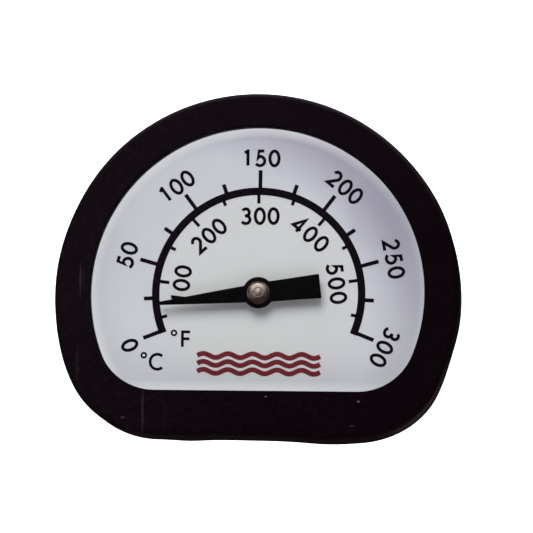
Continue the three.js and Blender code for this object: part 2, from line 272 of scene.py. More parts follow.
def make_stage():
    """A pale floor that sweeps up behind the object, under soft light from above."""
    floor_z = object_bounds()[0].z / MM - FLOOR_DROP
    reach, wall, bend, steps = 2500.0, 1500.0, 600.0, 16
    profile = [(-reach, floor_z), (wall - bend, floor_z)]
    for i in range(1, steps + 1):
        angle = radians(90 * i / steps)
        profile.append((wall - bend + bend * sin(angle),
                        floor_z + bend - bend * cos(angle)))
    profile.append((wall, floor_z + reach))
    verts = [(x * MM, y * MM, z * MM) for y, z in profile for x in (-reach, reach)]
    faces = [(2 * i, 2 * i + 1, 2 * i + 3, 2 * i + 2) for i in range(len(profile) - 1)]
    mesh = bpy.data.meshes.new("floor")
    mesh.from_pydata(verts, [], faces)
    mesh.shade_smooth()
    mesh.materials.append(pale_paper())
    floor = add_object("floor", mesh)

    world = bpy.data.worlds.new("studio")
    world.use_nodes = True
    background = world.node_tree.nodes["Background"]
    background.inputs["Color"].default_value = SKY
    background.inputs["Strength"].default_value = SKY_STRENGTH
    bpy.context.scene.world = world
    bpy.context.scene.view_settings.view_transform = "Standard"
    for light in LIGHTS:
        make_area_light(*light)


# ---- material tools


class Nodes:
    """A short way to write a material's nodes: each call adds a node and returns an output."""

    def __init__(self, name):
        self.material = bpy.data.materials.new(name)
        self.material.use_nodes = True
        self.tree = self.material.node_tree
        self.shader = self.tree.nodes["Principled BSDF"]
        self.position = self.add("ShaderNodeTexCoord", {}, "Object")

    def add(self, kind, sockets, output=0, **settings):
        """A new node's output. Each input socket, by name or number, gets a value or a link."""
        node = self.tree.nodes.new(kind)
        for key, value in settings.items():
            setattr(node, key, value)
        for key, value in sockets.items():
            self.join(value, node.inputs[key])
        return node.outputs[output]

    def join(self, value, socket):
        """Links an output to a socket, or sets the socket to a number or an opaque colour."""
        if isinstance(value, bpy.types.NodeSocket):
            self.tree.links.new(value, socket)
        else:
            socket.default_value = (*value, 1.0) if socket.type == "RGBA" else value

    def math(self, operation, a, b=0.0):
        return self.add("ShaderNodeMath", {0: a, 1: b}, operation=operation)

    def plus(self, a, b):
        return self.math("ADD", a, b)

    def times(self, product, *factors):
        for factor in factors:
            product = self.math("MULTIPLY", product, factor)
        return product

    def scaled(self, x, y, z):
        """The position, stretched, in millimetres."""
        sockets = {"Vector": self.position, "Scale": (x / MM, y / MM, z / MM)}
        return self.add("ShaderNodeMapping", sockets, vector_type="POINT")

    def noise(self, scale, detail=3.0, roughness=0.55, distortion=0.0, stretch=(1, 1, 1)):
        return self.add("ShaderNodeTexNoise", {
            "Vector": self.scaled(*stretch), "Scale": scale, "Detail": detail,
            "Roughness": roughness, "Distortion": distortion}, "Fac")

    def cells(self, scale, output="Distance"):
        sockets = {"Vector": self.scaled(1, 1, 1), "Scale": scale}
        return self.add("ShaderNodeTexVoronoi", sockets, output, feature="F1")

    def spread(self, value, low, high, to_low=0.0, to_high=1.0):
        """The value's range low..high mapped on to_low..to_high, and held there outside it."""
        return self.add("ShaderNodeMapRange", {
            "Value": value, "From Min": low, "From Max": high, "To Min": to_low,
            "To Max": to_high}, "Result", clamp=True)

    def blend(self, amount, a, b, kind="MIX"):
        """Colour a where the amount is 0 and colour b (or a times b) where it is 1."""
        return self.add("ShaderNodeMix", {"Factor": amount, "A": a, "B": b}, "Result",
                        data_type="RGBA", blend_type=kind)

    def distance(self, x, z, half_x=1, half_z=1):
        """The distance, seen from the front, from the point (x, z), in mm or half widths."""
        sockets = {0: self.scaled(1 / half_x, 0, 1 / half_z), 1: (x / half_x, 0, z / half_z)}
        return self.add("ShaderNodeVectorMath", sockets, "Value", operation="DISTANCE")

    def mark(self, x, z, half_x, half_z, core=0.4):
        """1 inside an ellipse on the front, fading to 0 at its edge."""
        return self.spread(self.distance(x, z, half_x, half_z), 1.0, core)

    def split(self):
        """The position's x, y and z in millimetres."""
        return self.add("ShaderNodeSeparateXYZ", {0: self.scaled(1, 1, 1)}).node.outputs

    def bump(self, height, millimetres, strength=1.0):
        sockets = {"Strength": strength, "Distance": millimetres * MM, "Height": height}
        self.join(self.add("ShaderNodeBump", sockets), self.shader.inputs["Normal"])

    def tooled(self, along, pitch, grain, millimetres, strength):
        """The rings that a lathe's tool leaves, over a grain."""
        rings = self.math("SINE", self.times(along, 2 * pi / pitch))
        height = self.plus(self.times(rings, 0.5), self.noise(grain))
        self.bump(height, millimetres, strength)

    def finish(self, colour, roughness, metallic=0.0, specular=0.5, **others):
        self.join(colour, self.shader.inputs["Base Color"])
        self.join(roughness, self.shader.inputs["Roughness"])
        self.shader.inputs["Metallic"].default_value = metallic
        self.shader.inputs["Specular IOR Level"].default_value = specular
        for key, value in others.items():
            self.shader.inputs[key.replace("_", " ")].default_value = value
        return self.material


def grey(value, warm=0.0):
    """A grey, a little warmer or cooler, as a colour."""
    return value * (1 + warm), value, value * (1 - warm)


# ---- materials


def pale_paper():
    n = Nodes("pale_paper")
    tint = n.noise(0.004, 2.0)
    colour = n.blend(tint, (0.90, 0.90, 0.90), (0.93, 0.93, 0.93))
    return n.finish(colour, 0.9, specular=0.1)


# Worn places on the soft frame: (x, z, half width, half height, strength), in mm.
SCORES = (
    (-26.6, 1.3, 0.22, 2.8, 0.8), (-26.1, 1.6, 0.16, 2.2, 0.35), (-26.9, -11.6, 0.18, 3.4, 0.4),
    (-16.9, -18.3, 0.24, 4.2, 0.7), (-13.6, -18.6, 0.14, 3.6, 0.2), (-29.3, 6.5, 0.3, 2.6, 0.25),
)
DUST = (
    (1.6, -16.0, 0.22, 0.18, 0.7), (15.5, -16.6, 0.24, 0.22, 0.9), (-19.9, -19.3, 0.4, 0.22, 0.25),
    (14.6, -20.3, 0.5, 0.2, 0.15),
)


def black_silicone():
    """Matte black with a purple cast, pale mottling, and a few scores and specks of dust; painted
    light makes it lighter towards the upper left, a painted highlight lies along its top edge and a
    painted warm reflection on its lower right side.
    """
    n = Nodes("black_silicone")
    cloud = n.noise(0.12, 4.0, 0.6)
    x, y, z = n.split()
    # Painted light: the frame is coloured lighter towards the upper left, where the light falls
    # (dark and light are shaded and lit copies of one black).
    lit = n.spread(n.math("SUBTRACT", x, z), 18.0, -27.0)
    dark = n.blend(cloud, (0.0034, 0.0016, 0.0028), (0.0046, 0.0024, 0.0038))
    light = n.blend(cloud, (0.0054, 0.0032, 0.0050), (0.0074, 0.0048, 0.0069))
    colour = n.blend(lit, dark, light)
    blotch = n.spread(n.noise(1.3, 5.0, 0.75), 0.46, 0.80)
    mottle = n.times(blotch, n.spread(x, 20.0, -20.0, 0.35, 0.9))
    colour = n.blend(n.times(mottle, 0.38), colour, (0.022, 0.016, 0.021))
    front = span("frame_boot")[0]
    near = n.spread(y, front + 2.0, front + 0.6)
    # Painted highlight: a lighter band along the top of the front's round outer edge, where light
    # from above catches it.
    painted_top_highlight = n.spread(n.distance(0, -BOOT_DROP), BOOT_R - 0.7, BOOT_R - 0.1)
    painted_top_highlight = n.times(painted_top_highlight, n.spread(z, 8.0, 22.0), near)
    colour = n.blend(painted_top_highlight, colour, (0.026, 0.020, 0.025))
    # Painted reflection: a warm brownish band on the lower right side wall, standing in for warm
    # light bounced from below.
    painted_warm_reflection = n.times(n.mark(22.5, -15.0, 9.5, 7.5, 0.1), n.spread(y, front + 1.0, front + 5.0),
                     n.spread(y, front + 13.0, front + 7.0), n.spread(cloud, 0.3, 0.7, 0.4, 1.0))
    colour = n.blend(painted_warm_reflection, colour, (0.052, 0.037, 0.034))
    ragged = n.spread(n.noise(1.6, 3.0, 0.7, stretch=(1, 1, 0.5)), 0.30, 0.55)
    ragged = n.times(ragged, near)
    for *place, strength in SCORES:
        score = n.times(n.mark(*place), ragged, strength)
        colour = n.blend(score, colour, (0.032, 0.024, 0.034))
    for *place, strength in DUST:
        colour = n.blend(n.times(n.mark(*place), near, strength), colour, (0.12, 0.11, 0.115))
    smear = n.noise(0.35, 5.0, 0.65, 0.6, (1, 1, 0.6))
    roughness = n.spread(smear, 0.3, 0.7, 0.50, 0.72)
    n.bump(n.plus(n.noise(9.0, 3.0, 0.6), n.times(mottle, 0.6)), 0.02, 0.5)
    return n.finish(colour, roughness, specular=0.0, Sheen_Weight=0.007, Sheen_Roughness=0.35)


def clouded(name, cloud, dark, light, grain, depth, strength, rough, specular):
    """Two tones in soft clouds, a roughness that follows them, and a fine grain."""
    n = Nodes(name)
    tone = n.noise(*cloud)
    n.bump(n.noise(*grain), depth, strength)
    roughness = n.spread(tone, 0.3, 0.7, *rough)
    return n.finish(n.blend(tone, dark, light), roughness, specular=specular)


def ink(name, dark, light):
    """Printed ink, a little thinner in places."""
    return clouded(name, (1.4, 4.0, 0.6), dark, light, (8.0, 2.0), 0.004, 0.5, (0.45, 0.6), 0.03)


def dial_enamel():
    """Satin enamel: neutral inside the scale, bluer outside it, with painted shade at the upper
    right, painted light towards the bottom and a painted light band along its edge.
    """
    n = Nodes("dial_enamel")
    x, _, z = n.split()
    radius = n.distance(0, 0)
    cloud = n.noise(0.045, 2.0, 0.5)
    inner = n.blend(cloud, (0.67, 0.67, 0.665), (0.71, 0.71, 0.705))
    outer = n.blend(cloud, (0.63, 0.63, 0.69), (0.69, 0.69, 0.735))
    colour = n.blend(n.spread(radius, ARC_R - 1.5, ARC_R + 1.5), inner, outer)
    # Painted light: the lower part of the dial's outer zone is coloured brighter, making up for
    # shade near the frame.
    low = n.times(n.spread(z, 5.0, -6.0), n.spread(radius, 12.0, 20.0))
    colour = n.blend(low, colour, (0.72, 0.72, 0.765))
    # Painted shade: the upper right of the dial is darkened, standing for the soft shadow of the
    # frame.
    ragged = n.times(n.noise(0.12, 3.0, 0.5), 2.5)
    painted_shade_upper_right = n.spread(n.plus(n.distance(-9, -5), ragged), 26.7, 33.7)
    painted_shade_upper_right = n.times(painted_shade_upper_right, n.spread(z, -10.0, 8.0, 0.45, 1.0))
    # Painted shade: a further soft dark patch next to the frame at the upper right.
    painted_shade_patch = n.mark(18.3, 11.2, 6.0, 8.0, 0.1)
    colour = n.blend(painted_shade_patch, colour, (0.91, 0.90, 0.925), "MULTIPLY")
    colour = n.blend(painted_shade_upper_right, colour, (0.64, 0.61, 0.68), "MULTIPLY")
    # Painted light: a lighter band along the dial's edge, stronger towards the left, standing for
    # the turned-up rim catching light.
    painted_rim_light_round = n.spread(n.distance(0, -OUTLINE_DROP), OPENING_R - 1.2, OPENING_R - 0.1)
    painted_rim_light_flat = n.spread(z, 1.7 - OPENING_FLAT, 0.4 - OPENING_FLAT)
    lip = n.times(n.math("MAXIMUM", painted_rim_light_round, painted_rim_light_flat), n.spread(x, 6.0, 22.0, 0.8, 0.3))
    colour = n.blend(lip, colour, (0.92, 0.92, 0.95))
    speckle = n.spread(n.noise(2.6, 5.0, 0.75), 0.35, 0.75, 0.0, 0.12)
    colour = n.blend(speckle, colour, (0.45, 0.45, 0.50))
    dust = n.spread(n.cells(0.33), 0.04, 0.02)
    colour = n.blend(n.times(dust, 0.25), colour, (0.30, 0.28, 0.28))
    n.bump(n.noise(2.2, 3.0, 0.5), 0.01, 0.3)
    return n.finish(colour, n.spread(cloud, 0.3, 0.7, 0.42, 0.5), specular=0.35)


def turned_metal(name, dark, light, roughness):
    """Metal off a lathe: fine rings about the stem's axis, stains and small pits."""
    n = Nodes(name)
    _, y, _ = n.split()
    n.tooled(n.plus(n.distance(0, 0), n.times(y, 0.9)), 0.12, 5.0, 0.006, 0.55)
    stain = n.noise(0.6, 5.0, 0.65, 0.4)
    colour = n.blend(n.spread(stain, 0.32, 0.68), dark, light)
    pits = n.spread(n.cells(2.4), 0.09, 0.03)
    colour = n.blend(n.times(pits, 0.35), colour, tuple(0.4 * part for part in dark))
    rough = n.spread(stain, 0.25, 0.75, roughness - 0.07, roughness + 0.1)
    return n.finish(colour, rough, metallic=1.0)


def rivet_metal():
    """Turned and burnished metal, with painted shade darkening its lower part, and a few coarse
    tool rings.
    """
    n = Nodes("rivet_metal")
    x, _, z = n.split()
    n.tooled(n.distance(0, 0), 0.34, 4.0, 0.03, 0.6)
    stain = n.noise(1.3, 5.0, 0.7, 0.5)
    colour = n.blend(n.spread(stain, 0.34, 0.66), (0.15, 0.11, 0.095), (0.38, 0.32, 0.28))
    # Painted shade: the rivet's lower part is coloured dark brown, standing for the shade on its
    # underside.
    below = n.math("SUBTRACT", z, n.times(x, 0.3))
    painted_shade_below = n.spread(n.plus(below, n.times(stain, 0.9)), 0.4, -0.35, 0.0, 0.92)
    colour = n.blend(painted_shade_below, colour, (0.050, 0.028, 0.026))
    return n.finish(colour, n.spread(stain, 0.3, 0.7, 0.36, 0.55), metallic=1.0)


def brushed_sheet(name, dark, light, roughness):
    """Rolled sheet: long fine lines along X, with finger marks."""
    n = Nodes(name)
    lines = n.noise(2.2, 4.0, 0.7, stretch=(0.04, 3.0, 3.0))
    stain = n.noise(0.18, 4.0, 0.6, 0.5)
    colour = n.blend(n.plus(n.times(lines, 0.6), n.times(stain, 0.4)), dark, light)
    n.bump(lines, 0.006, 0.5)
    rough = n.spread(stain, 0.25, 0.75, roughness - 0.08, roughness + 0.1)
    return n.finish(colour, rough, metallic=1.0)


def zinc_plate():
    """Bright zinc: pale, mottled, with a faint yellow bloom."""
    n = Nodes("zinc_plate")
    grains = n.cells(0.9, "Color")
    shade = n.add("ShaderNodeSeparateColor", {0: grains})
    mottle = n.plus(n.times(shade, 0.35), n.times(n.noise(1.1, 5.0, 0.65), 0.65))
    colour = n.blend(n.spread(mottle, 0.25, 0.75), (0.33, 0.32, 0.295), (0.52, 0.515, 0.49))
    n.bump(n.noise(2.5, 5.0, 0.6), 0.03, 0.5)
    return n.finish(colour, n.spread(mottle, 0.25, 0.75, 0.36, 0.54), metallic=1.0)


def window_glass():
    """A clear pane that mirrors a little, with faint wiping marks."""
    n = Nodes("window_glass")
    n.tree.nodes.remove(n.shader)
    clear = n.add("ShaderNodeBsdfTransparent", {"Color": (0.985, 0.99, 0.99)})
    wiped = n.spread(n.noise(0.22, 4.0, 0.6, 0.8, (0.4, 1, 1)), 0.3, 0.7, 0.03, 0.10)
    mirror = n.add("ShaderNodeBsdfGlossy", {"Color": (1.0, 1.0, 1.0), "Roughness": wiped})
    facing = n.add("ShaderNodeFresnel", {"IOR": 1.14})
    mix = n.add("ShaderNodeMixShader", {0: facing, 1: clear, 2: mirror})
    n.join(mix, n.tree.nodes["Material Output"].inputs["Surface"])
    return n.material


# ---- outlines and profiles

ARC_STEPS = 168
CORNER_STEPS = 36
FLAT_STEPS = 24
ROUND_STEPS = 96
FINE_STEPS = 48


def arc(centre_x, centre_z, radius, start, sweep, steps):
    """Points of a circular arc, in radians anticlockwise, without its last point."""
    turns = [start + sweep * i / steps for i in range(steps)]
    return [(radius * cos(a) + centre_x, radius * sin(a) + centre_z) for a in turns]


def outline(round_r, flat, corner, drop):
    """Points (x, z) of a D outline, anticlockwise.

    The flat is measured from the centre of the round top, which lies below the stem by the drop.
    """
    corner_z = corner - flat
    corner_x = sqrt((round_r - corner) ** 2 - corner_z ** 2)
    turn = atan2(corner_z, corner_x)
    points = arc(0.0, 0.0, round_r, turn, pi - 2 * turn, ARC_STEPS)
    points += arc(-corner_x, corner_z, corner, pi - turn, 0.5 * pi + turn, CORNER_STEPS)
    points += [(corner_x * (2 * i / FLAT_STEPS - 1), -flat) for i in range(FLAT_STEPS)]
    points += arc(corner_x, corner_z, corner, -0.5 * pi, 0.5 * pi + turn, CORNER_STEPS)
    return [(x, z - drop) for x, z in points]


def d_outline(grow):
    """The opening's outline grown by an offset."""
    return outline(OPENING_R + grow, OPENING_FLAT + grow, OPENING_CORNER + grow, OUTLINE_DROP)


def d_ring(grow, y):
    return [(x, y, z) for x, z in d_outline(grow)]


def bell(value, height, centre, half):
    return height * exp(-((value - centre) / half) ** 2)


def slumped(x, z):
    """A point of the frame's outside, moved out of true."""
    sag = sum(bell(x, *place) for place in SAGS)
    low = min(1.0, max(0.0, (SAG_TOP - z) / SAG_FADE))
    lean = bell(z, *(LEFT_LEAN if x < 0 else RIGHT_LEAN)) - bell(z, *TOP_LEAN)
    level = min(1.0, abs(x) / LEAN_REACH)
    return x - lean * level, z - sag * low * low * (3 - 2 * low)


def boot_ring(grow, y, share):
    """A ring that is the opening's outline at share 0 and follows the frame's outside at 1."""
    inset = BOOT_GROW - grow
    outside = outline(BOOT_R - inset, BOOT_FLAT - inset, BOOT_CORNER - inset, BOOT_DROP)
    ring = []
    for (x, z), (far_x, far_z) in zip(d_outline(grow), outside):
        far_x, far_z = slumped(far_x, far_z)
        ring.append((x + (far_x - x) * share, y, z + (far_z - z) * share))
    return ring


def at_radius(points, radius):
    """The points of a circle that have the bearings of the (x, z) points given."""
    return [(radius * x / hypot(x, z), radius * z / hypot(x, z)) for x, z in points]


def hole_ring(radius, y):
    """A circle that fits the D outline, point for point."""
    return [(x, y, z) for x, z in at_radius(d_outline(0), radius)]


def polar(r, a, y):
    """A point at a radius and a bearing about the stem."""
    return r * cos(a), y, r * sin(a)


def round_rings(points, steps=ROUND_STEPS):
    """Circles about the stem, one for each (radius, y) point."""
    return [[polar(r, 2 * pi * i / steps, y) for i in range(steps)] for r, y in points]


def rounded(corners, steps=5):
    """A closed profile with round corners. Each corner is (a, b) or (a, b, radius)."""
    points = []
    count = len(corners)
    for i, corner in enumerate(corners):
        here = Vector(corner[:2])
        radius = corner[2] if len(corner) > 2 else 0.0
        if radius <= 0:
            points.append(tuple(here))
            continue
        before = (Vector(corners[i - 1][:2]) - here).normalized()
        after = (Vector(corners[(i + 1) % count][:2]) - here).normalized()
        half = before.angle(after) / 2
        reach = radius / tan(half)
        centre = here + (before + after).normalized() * radius / sin(half)
        start = here + before * reach - centre
        sweep = start.angle_signed(here + after * reach - centre)
        for k in range(steps + 1):
            a = -sweep * k / steps
            turned = Vector((start.x * cos(a) - start.y * sin(a),
                             start.x * sin(a) + start.y * cos(a)))
            points.append(tuple(centre + turned))
    return points


# ---- mesh tools


def make_piece(name, shape, material, node=None, body="housing", slot=None, sharp=38):
    """A piece from points (mm) and faces: faces out, smooth but for its sharp edges.

    It stands for a CAD node and rides on its body, or it rides on the body given. The slot argument
    is not used.
    """
    verts, faces = shape
    mesh = bpy.data.meshes.new(name)
    mesh.from_pydata([Vector(v) * MM for v in verts], [], faces)
    work = bmesh.new()
    work.from_mesh(mesh)
    bmesh.ops.remove_doubles(work, verts=work.verts, dist=1e-9)
    bmesh.ops.recalc_face_normals(work, faces=work.faces)
    if work.calc_volume(signed=True) < 0:
        bmesh.ops.reverse_faces(work, faces=work.faces)
    work.to_mesh(mesh)
    work.free()
    mesh.shade_smooth()
    mesh.set_sharp_from_angle(angle=radians(sharp))
    piece = add_object(name, mesh)
    mesh.materials.append(material)
    flat = piece.modifiers.new("flat_faces", "WEIGHTED_NORMAL")
    flat.keep_sharp = True
    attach(piece, BODY_OF.get(node, body))
    if node:
        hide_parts(node)
    return piece


def loft(rings, closed=False):
    """Points and faces of a skin through rings of equal length, capped unless it is closed."""
    count = len(rings[0])
    verts = [point for ring in rings for point in ring]
    faces = []
    for i in range(len(rings) if closed else len(rings) - 1):
        here, there = i * count, (i + 1) % len(rings) * count
        for j in range(count):
            k = (j + 1) % count
            faces.append((here + j, here + k, there + k, there + j))
    if not closed:
        faces.append(tuple(reversed(range(count))))
        faces.append(tuple(range(len(verts) - count, len(verts))))
    return verts, faces


def join_parts(parts):
    """Several (points, faces) as one."""
    verts, faces = [], []
    for part_verts, part_faces in parts:
        shift = len(verts)
        verts.extend(part_verts)
        faces.extend(tuple(i + shift for i in face) for face in part_faces)
    return verts, faces


def d_swept(name, corners, *args):
    """A closed profile of (grow, y) corners carried round the D outline."""
    make_piece(name, loft([d_ring(g, y) for g, y in rounded(corners)], closed=True), *args)


def turned_ring(name, corners, *args, steps=ROUND_STEPS):
    """A closed profile of (radius, y) corners turned about the stem."""
    make_piece(name, loft(round_rings(rounded(corners), steps), closed=True), *args)


def turned_rod(name, profile, *args, steps=ROUND_STEPS):
    """An open profile of (radius, y) points turned about the stem, its two ends capped."""
    make_piece(name, loft(round_rings(profile, steps)), *args)


def box(inner, outer, front, back, cuts):
    """A rectangle's corners. cuts are their radii, from the front inside on."""
    corners = ((inner, front), (outer, front), (outer, back), (inner, back))
    return [(*corner, cut) for corner, cut in zip(corners, cuts)]


def open_ring(name, opening, steps, section, *args):
    """A ring with an opening. section gives its profile at a share of the way round."""
    rings = []
    for i in range(steps + 1):
        a = opening / 2 + (2 * pi - opening) * (i / steps)
        rings.append([polar(r, a, y) for r, y in rounded(section(i / steps), steps=3)])
    make_piece(name, loft(rings), *args)


# ---- housing


def make_boot(material):
    """The soft frame: round edges, a parting line round its middle, and room for the case."""
    front, back = span("frame_boot")
    inside_back = span("case_cup")[1] + CLEAR
    ring_front, ring_back = span("bezel_ring")
    ring_front -= CLEAR
    ring_back += FIT
    step = span("dial_plate")[0] + DIAL_T + CLEAR + SHEET + FIT
    rear = CASE_GROW - CASE_STEP + FIT
    parting = (front + back) / 2
    profile = rounded([
        (0.0, front, 0.3), (BOOT_GROW, front, 1.25),
        (BOOT_GROW, parting - 0.14, 0.04), (BOOT_GROW - 0.09, parting, 0.05),
        (BOOT_GROW, parting + 0.14, 0.04), (BOOT_GROW, back, 1.25),
        (BOOT_BACK_GROW, back, 0.45), (BOOT_BACK_GROW, inside_back, 0.1),
        (rear, inside_back, 0.1), (rear, step, 0.1),
        (CASE_GROW + FIT, step, 0.1), (CASE_GROW + FIT, ring_back, 0.05),
        (RING_GROW + FIT, ring_back, 0.1), (RING_GROW + FIT, ring_front, 0.1),
        (0.0, ring_front, 0.2),
    ], steps=7)
    last_outside = max(i for i, (_, y) in enumerate(profile) if y > back - 0.01)
    rings = []
    for i, (grow, y) in enumerate(profile):
        share = min(1.0, max(0.0, (grow - 0.4) / (BOOT_GROW - 1.8)))
        rings.append(boot_ring(grow, y, share if i <= last_outside else 0.0))
    make_piece("soft_frame", loft(rings, closed=True), material, "frame_boot")


def make_case(material):
    """The drawn cup: a stepped wall, round bends and a flat floor with the bush's hole."""
    front, back = span("case_cup")
    ledge = span("dial_plate")[0] + DIAL_T + CLEAR
    rear = CASE_GROW - CASE_STEP
    profile = rounded([
        (CASE_GROW, front, 0.2), (CASE_GROW, ledge + SHEET, 0.5),
        (rear, ledge + SHEET, 0.15), (rear, back, 0.8),
        (MIDDLE_GROW, back), (MIDDLE_GROW, back - SHEET),
        (rear - SHEET, back - SHEET, 0.3), (rear - SHEET, ledge, 0.3),
        (CASE_GROW - SHEET, ledge, 0.15), (CASE_GROW - SHEET, front, 0.2),
    ])
    split = next(i for i, (grow, _) in enumerate(profile) if grow == MIDDLE_GROW) + 1
    rings = [d_ring(g, y) for g, y in profile[:split]]
    rings += [hole_ring(NUT_BORE_R, back), hole_ring(NUT_BORE_R, back - SHEET)]
    rings += [d_ring(g, y) for g, y in profile[split:]]
    make_piece("steel_cup", loft(rings, closed=True), material, "case_cup")


def make_dial(material):
    """White plate whose rim, nearly flat where it shows, turns up behind the frame's lip."""
    rim_front, back = span("dial_plate")
    face = back - DIAL_T
    flange = DIAL_GROW - 0.5
    profile = rounded([
        (MIDDLE_GROW, face), (DISH_GROW, face, 0.6), (DISH_OUT, face - DISH_RISE, 0.3),
        (flange, rim_front, 0.3), (DIAL_GROW, rim_front, 0.1),
        (DIAL_GROW, rim_front + DIAL_T, 0.1), (flange - 0.1, rim_front + DIAL_T, 0.2),
        (DISH_OUT - 0.05, back - DISH_RISE, 0.3), (DISH_GROW, back, 0.6), (MIDDLE_GROW, back),
    ], steps=8)
    rings = [d_ring(g, y) for g, y in profile]
    rings += [hole_ring(DIAL_HOLE_R, back), hole_ring(DIAL_HOLE_R, face)]
    make_piece("white_dial", loft(rings, closed=True), material, "dial_plate")


def make_window(material):
    front, back = span("lens")
    bevel = 0.15
    rings = [d_ring(WINDOW_GROW - bevel, front), d_ring(WINDOW_GROW, front + bevel),
             d_ring(WINDOW_GROW, back - bevel), d_ring(WINDOW_GROW - bevel, back)]
    make_piece("window", loft(rings), material, "lens", sharp=20)


def make_window_rings(steel, silicone, plastic):
    """The crimped ring over the cup's rim, the gasket behind the window and the spacer."""
    front, back = span("bezel_ring")
    skirt, under = CASE_GROW + CLEAR, front + 0.45
    d_swept("crimped_ring", [
        (RING_INNER_GROW, front, 0.1), (RING_GROW, front, 0.3), (RING_GROW, back, 0.1),
        (skirt, back, 0.1), (skirt, under, 0.05), (RING_INNER_GROW, under, 0.1),
    ], steel, "bezel_ring")
    for name, node, inner, material in (
        ("window_gasket", "lens_gasket", GASKET_GROW, silicone),
        ("spacer_ring", "dial_spacer", SPACER_GROW, plastic),
    ):
        corners = box(inner, WINDOW_GROW + CLEAR, *span(node), [0.12] * 4)
        d_swept(name, corners, material, node)


# ---- the print on the dial


def stroke(path, width, closed=False):
    """An (x, z) outline of a line of this width along a path, with square ends."""
    points = [Vector(p) for p in path]
    count = len(points)
    left, right = [], []
    for i, point in enumerate(points):
        before = points[i - 1] if i or closed else None
        after = points[(i + 1) % count] if i < count - 1 or closed else None
        into = (point - before).normalized() if before is not None else None
        out = (after - point).normalized() if after is not None else None
        along = ((into or out) + (out or into)).normalized()
        side = Vector((-along.y, along.x))
        reach = width / 2 / max(0.35, along.dot(out or into))
        left.append(tuple(point + side * reach))
        right.append(tuple(point - side * reach))
    return left, right


def ribbon(path, width, y_front, y_back, closed=False):
    """Points and faces of a raised line along an (x, z) path."""
    left, right = stroke(path, width, closed)
    rings = [[(l[0], y_front, l[1]), (r[0], y_front, r[1]),
              (r[0], y_back, r[1]), (l[0], y_back, l[1])] for l, r in zip(left, right)]
    return loft(rings, closed=closed)


def curve(centre_x, centre_z, radius_x, radius_z, start, end, steps):
    """Points of an elliptical arc, in degrees anticlockwise."""
    turns = [radians(start + (end - start) * i / steps) for i in range(steps + 1)]
    return [(centre_x + radius_x * cos(a), centre_z + radius_z * sin(a)) for a in turns]


def glyphs():
    """Line digits and unit letters, 1 high, each as (width, [path, ...])."""
    return {
        "0": (0.62, [curve(0.31, 0.5, 0.31, 0.5, 0, 360, 40)[:-1]]),
        "1": (0.36, [[(0.02, 0.86), (0.22, 1.0), (0.24, 1.0), (0.24, 0.0)]]),
        "2": (0.58, [curve(0.28, 0.71, 0.26, 0.29, 165, -32, 16) + [(0.02, 0.0), (0.58, 0.0)]]),
        "3": (0.56, [curve(0.26, 0.755, 0.235, 0.245, 150, -75, 16) + [(0.20, 0.52)],
                     [(0.20, 0.52)] + curve(0.25, 0.27, 0.29, 0.27, 80, -150, 18)]),
        "4": (0.66, [[(0.47, 0.0), (0.47, 1.0), (0.0, 0.24), (0.66, 0.24)]]),
        "5": (0.56, [[(0.52, 1.0), (0.17, 1.0), (0.09, 0.53)]
                     + curve(0.23, 0.315, 0.32, 0.315, 105, -145, 20)]),
        "C": (0.82, [curve(0.50, 0.5, 0.48, 0.5, 48, 312, 30)]),
        "F": (0.50, [[(0.0, 0.0), (0.0, 1.0), (0.50, 1.0)], [(0.0, 0.54), (0.47, 0.54)]]),
        DEGREE: (0.32, [curve(0.16, 0.80, 0.15, 0.15, 0, 360, 20)[:-1]]),
    }


def scale_direction(celsius):
    angle = radians(ZERO_ANGLE - DEGREES_PER_CELSIUS * celsius)
    return cos(angle), sin(angle)


def label(text, centre_x, centre_z, turn, layers, weight=DIGIT_STROKE, step=DIGIT_STEP):
    """Raised digits centred on a point. turn is how far the text leans, in radians."""
    letters = glyphs()
    tall = DIGIT_H - weight
    parts = []
    for i, sign in enumerate(text):
        width, paths = letters[sign]
        start = (i - (len(text) - 1) / 2) * step - width * tall / 2
        for path in paths:
            placed = []
            for x, z in path:
                flat_x, flat_z = start + x * tall, (z - 0.5) * tall
                placed.append((centre_x + flat_x * cos(turn) - flat_z * sin(turn),
                               centre_z + flat_x * sin(turn) + flat_z * cos(turn)))
            parts.append(ribbon(placed, weight, *layers, closed=sign in CLOSED_SIGNS))
    return parts


def tick(celsius, inner, outer, width, layers):
    x, z = scale_direction(celsius)
    return ribbon([(inner * x, inner * z), (outer * x, outer * z)], width, *layers)


def number(value, celsius, radius, layers, shift_x, shift_z, step=DIGIT_STEP, lean=0.0):
    """A number of the scale, upright along the radius at its place on the arc."""
    x, z = scale_direction(celsius)
    turn = atan2(z, x) - pi / 2 + radians(lean)
    return label(str(value), radius * x + shift_x, radius * z + shift_z, turn, layers, step=step)


